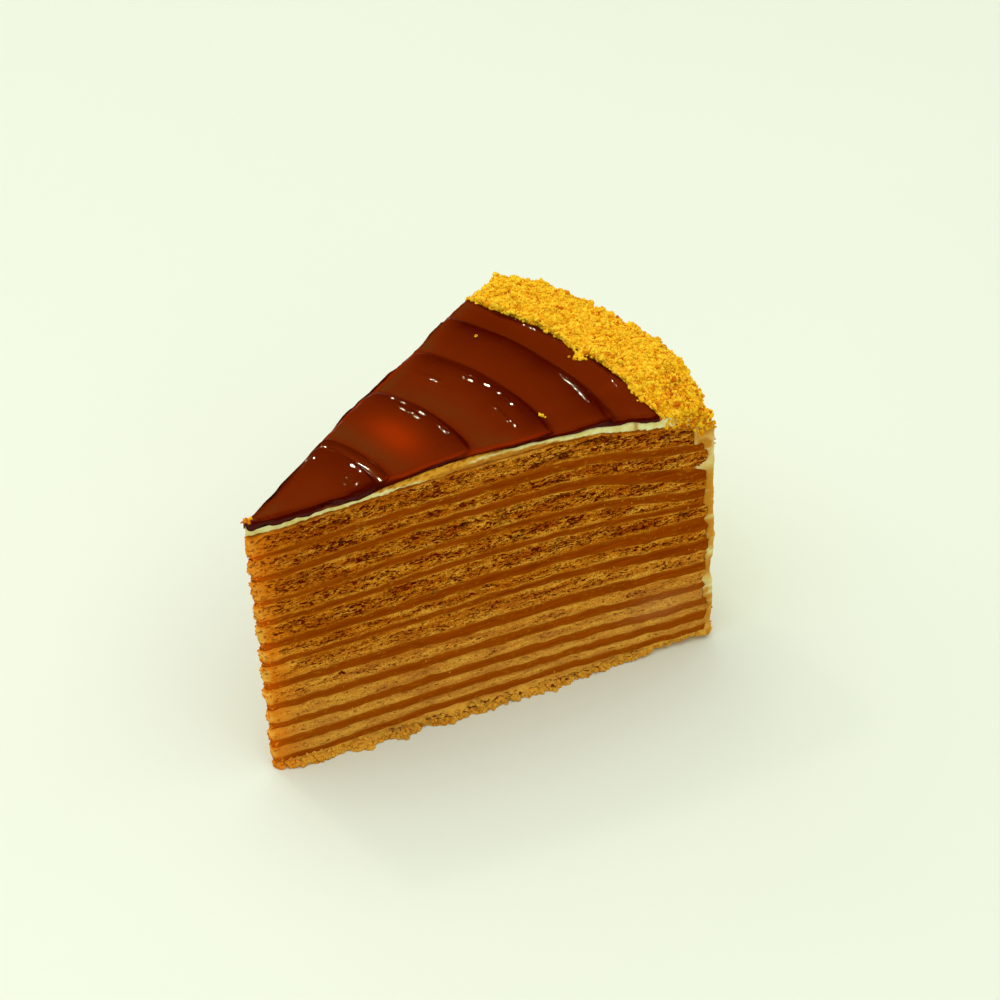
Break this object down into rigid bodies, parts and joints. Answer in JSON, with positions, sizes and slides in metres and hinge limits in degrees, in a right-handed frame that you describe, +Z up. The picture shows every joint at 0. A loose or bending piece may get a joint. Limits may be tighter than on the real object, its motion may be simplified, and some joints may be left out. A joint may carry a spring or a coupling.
{
  "type": "honey layer cake slice",
  "caption": "Wedge slice of honey layer cake: thin biscuits and caramel cream in layers, poured caramel on top, biscuit crumbs along the rim.",
  "frame": {"origin": "on the plane the slice stands on, under the middle of its box", "axes": "+Z up, +X from the point of the slice to its rim, +Y towards the second cut side"},
  "size_m": [0.1196, 0.0758, 0.0796],
  "materials": {
    "biscuit": "soft baked crumb, porous where cut",
    "caramel_cream": "dense caramel cream, smoothed by the knife",
    "cream": "soft white cream, satin",
    "glaze": "poured caramel, glossy and slightly clear",
    "crumbs": "coarse golden biscuit crumbs"
  },
  "bodies": {
    "root": {"biscuit_01": "biscuit", "biscuit_02": "biscuit", "biscuit_03": "biscuit", "biscuit_04": "biscuit", "biscuit_05": "biscuit", "biscuit_06": "biscuit", "biscuit_07": "biscuit", "biscuit_08": "biscuit", "biscuit_09": "biscuit", "biscuit_10": "biscuit", "biscuit_11": "biscuit", "biscuit_12": "biscuit", "caramel_cream_01": "caramel_cream", "caramel_cream_02": "caramel_cream", "caramel_cream_03": "caramel_cream", "caramel_cream_04": "caramel_cream", "caramel_cream_05": "caramel_cream", "caramel_cream_06": "caramel_cream", "caramel_cream_07": "caramel_cream", "caramel_cream_08": "caramel_cream", "caramel_cream_09": "caramel_cream", "caramel_cream_10": "caramel_cream", "caramel_cream_11": "caramel_cream", "cream_coat": "cream", "caramel_glaze": "glaze", "crumb_band": "crumbs"}
  },
  "joints": []
}
